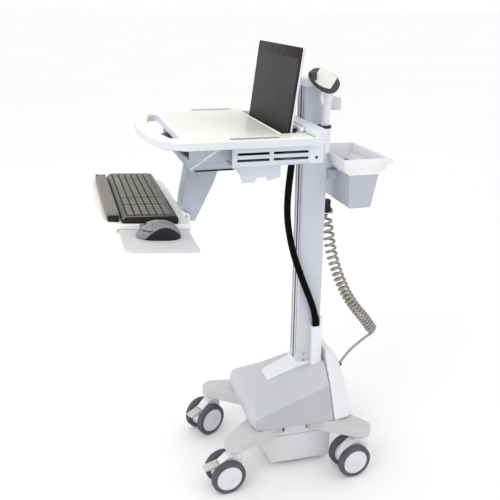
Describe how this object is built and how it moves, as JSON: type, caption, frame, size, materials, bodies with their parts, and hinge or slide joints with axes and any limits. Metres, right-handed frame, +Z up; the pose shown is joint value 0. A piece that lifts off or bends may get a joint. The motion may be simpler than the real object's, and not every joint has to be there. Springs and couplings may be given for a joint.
{
  "type": "medication cart",
  "caption": "Height-adjustable medication and computer cart: castered base with power drive, column, worksurface over a laptop bay, keyboard tray, scanner and basket.",
  "frame": {"origin": "the floor under the middle of the cart's own footprint, cords left out", "axes": "+Z up, -Y towards the user who stands at the worksurface, +X to the user's right"},
  "size_m": [0.622, 0.8194, 1.2052],
  "materials": {
    "casting_grey": "satin",
    "housing_grey": "satin",
    "cover_white": "satin",
    "top_white": "satin",
    "column_aluminium": "satin",
    "sheet_grey": "satin",
    "arm_grey": "satin",
    "steel": "brushed",
    "battery_black": "matte",
    "basket_grey": "satin",
    "laptop_black": "matte",
    "keyboard_silver": "satin",
    "key_grey": "matte",
    "pad_brown": "matte",
    "mouse_silver": "satin",
    "grip_green": "matte",
    "lever_grey": "satin",
    "scanner_white": "satin",
    "scanner_dark": "matte",
    "sleeve_black": "satin",
    "cord_grey": "satin",
    "caster_hood_white": "satin",
    "caster_disc": "satin",
    "tyre_grey": "matte"
  },
  "bodies": {
    "base": {"chassis": "casting_grey", "front_legs": "casting_grey", "rear_legs": "casting_grey", "base_housing": "housing_grey", "rear_spine": "cover_white", "column_plate": "cover_white", "power_box": "cover_white", "battery_pack": "battery_black", "cord_gland": "sleeve_black", "column": "column_aluminium", "column_cap": "cover_white", "cable_cover": "cover_white", "foot_screws": "steel", "lift_spring": "steel", "cord_hook": "sheet_grey", "basket": "basket_grey", "scanner_holder": "cover_white", "caster_stems": "steel", "cable_sleeve": "sleeve_black", "cord_coil": "cord_grey", "cord_lead": "cord_grey", "cord_plug": "sleeve_black"},
    "lift": {"lift_carriage": "sheet_grey", "worksurface": "top_white", "grip_strips": "grip_green", "rear_hood": "top_white", "laptop_bay": "sheet_grey", "hook_bracket": "sheet_grey", "arm_mount": "sheet_grey", "arm_pin": "steel", "laptop_base": "laptop_black"},
    "lever": {"lift_lever": "lever_grey"},
    "arm": {"keyboard_arm": "arm_grey", "tray_pin": "steel"},
    "tray": {"keyboard_tray": "top_white", "keyboard_base": "keyboard_silver", "wrist_rest": "pad_brown"},
    "keys": {"keyboard_keys": "key_grey"},
    "mouse_shelf": {"mouse_tray": "top_white"},
    "mouse": {"mouse_body": "mouse_silver"},
    "mouse_button_pair": {"mouse_buttons": "mouse_silver"},
    "lid": {"laptop_lid": "laptop_black"},
    "clip": {"screen_clip": "top_white"},
    "scanner": {"scanner_shell": "scanner_white", "scanner_bumper": "scanner_dark"},
    "trigger": {"scanner_trigger": "scanner_dark"},
    "caster_fl": {"caster_hood_fl": "caster_hood_white"},
    "wheels_fl": {"caster_tyres_fl": "tyre_grey", "caster_hubs_fl": "caster_disc"},
    "pedal_fl": {"brake_pedal_fl": "lever_grey"},
    "caster_fr": {"caster_hood_fr": "caster_hood_white"},
    "wheels_fr": {"caster_tyres_fr": "tyre_grey", "caster_hubs_fr": "caster_disc"},
    "pedal_fr": {"brake_pedal_fr": "lever_grey"},
    "caster_rl": {"caster_hood_rl": "caster_hood_white"},
    "wheels_rl": {"caster_tyres_rl": "tyre_grey", "caster_hubs_rl": "caster_disc"},
    "caster_rr": {"caster_hood_rr": "caster_hood_white"},
    "wheels_rr": {"caster_tyres_rr": "tyre_grey", "caster_hubs_rr": "caster_disc"}
  },
  "joints": [
    {"name": "lift_slide", "type": "slide", "parent": "base", "child": "lift", "axis": [0, 0, 1], "range_m": [-0.4, 0.05], "deforming": ["cable_sleeve"]},
    {"name": "lever_hinge", "type": "hinge", "parent": "lift", "child": "lever", "pos_m": [-0.061, -0.18687, 0.984], "axis": [-1, 0, 0], "range_deg": [0, 12], "stiffness_Nm_per_rad": 0.5, "springref_deg": -8.59},
    {"name": "arm_hinge", "type": "hinge", "parent": "lift", "child": "arm", "pos_m": [-0.061, -0.12487, 0.928], "axis": [1, 0, 0], "range_deg": [-15, 15]},
    {"name": "tray_hinge", "type": "hinge", "parent": "arm", "child": "tray", "pos_m": [-0.061, -0.16087, 0.775], "axis": [1, 0, 0], "range_deg": [-10, 8]},
    {"name": "key_press", "type": "slide", "parent": "tray", "child": "keys", "axis": [0, -0.0837, -0.9965], "range_m": [0, 0.003], "stiffness_N_per_m": 1500, "springref_m": -0.003},
    {"name": "mouse_tray_slide", "type": "slide", "parent": "tray", "child": "mouse_shelf", "axis": [1, 0, 0], "range_m": [-0.018, 0.05]},
    {"name": "mouse_slide", "type": "slide", "parent": "mouse_shelf", "child": "mouse", "axis": [1, 0, 0], "range_m": [0, 0.03]},
    {"name": "mouse_button_press", "type": "slide", "parent": "mouse", "child": "mouse_button_pair", "axis": [0, -0.0837, -0.9965], "range_m": [0, 0.0006], "stiffness_N_per_m": 1000, "springref_m": -0.0006},
    {"name": "lid_hinge", "type": "hinge", "parent": "lift", "child": "lid", "pos_m": [-0.061, 0.06713, 0.975], "axis": [1, 0, 0], "range_deg": [-2, 28]},
    {"name": "clip_hinge", "type": "hinge", "parent": "lift", "child": "clip", "pos_m": [0.121, 0.09713, 1.017], "axis": [0, 1, 0], "range_deg": [0, 70]},
    {"name": "scanner_lift", "type": "slide", "parent": "base", "child": "scanner", "axis": [0, 0, 1], "range_m": [0, 0.08]},
    {"name": "trigger_press", "type": "slide", "parent": "scanner", "child": "trigger", "axis": [0, 1, 0], "range_m": [0, 0.003], "stiffness_N_per_m": 400, "springref_m": -0.002},
    {"name": "swivel_fl", "type": "hinge", "parent": "base", "child": "caster_fl", "pos_m": [-0.211, -0.05787, 0.1], "axis": [0, 0, 1], "continuous": true},
    {"name": "wheel_fl", "type": "hinge", "parent": "caster_fl", "child": "wheels_fl", "pos_m": [-0.19738, -0.0846, 0.05], "axis": [0.891, 0.454, 0], "continuous": true},
    {"name": "brake_fl", "type": "hinge", "parent": "caster_fl", "child": "pedal_fl", "pos_m": [-0.18558, -0.10777, 0.078], "axis": [0.891, 0.454, 0], "range_deg": [0, 12]},
    {"name": "swivel_fr", "type": "hinge", "parent": "base", "child": "caster_fr", "pos_m": [0.089, -0.05787, 0.1], "axis": [0, 0, 1], "continuous": true},
    {"name": "wheel_fr", "type": "hinge", "parent": "caster_fr", "child": "wheels_fr", "pos_m": [0.09266, -0.08765, 0.05], "axis": [0.9925, 0.1219, 0], "continuous": true},
    {"name": "brake_fr", "type": "hinge", "parent": "caster_fr", "child": "pedal_fr", "pos_m": [0.09582, -0.11346, 0.078], "axis": [0.9925, 0.1219, 0], "range_deg": [0, 12]},
    {"name": "swivel_rl", "type": "hinge", "parent": "base", "child": "caster_rl", "pos_m": [-0.233, 0.31313, 0.1], "axis": [0, 0, 1], "continuous": true},
    {"name": "wheel_rl", "type": "hinge", "parent": "caster_rl", "child": "wheels_rl", "pos_m": [-0.23769, 0.2835, 0.05], "axis": [0.9877, -0.1564, 0], "continuous": true},
    {"name": "swivel_rr", "type": "hinge", "parent": "base", "child": "caster_rr", "pos_m": [0.111, 0.31313, 0.1], "axis": [0, 0, 1], "continuous": true},
    {"name": "wheel_rr", "type": "hinge", "parent": "caster_rr", "child": "wheels_rr", "pos_m": [0.11414, 0.28329, 0.05], "axis": [0.9945, 0.1045, 0], "continuous": true}
  ]
}
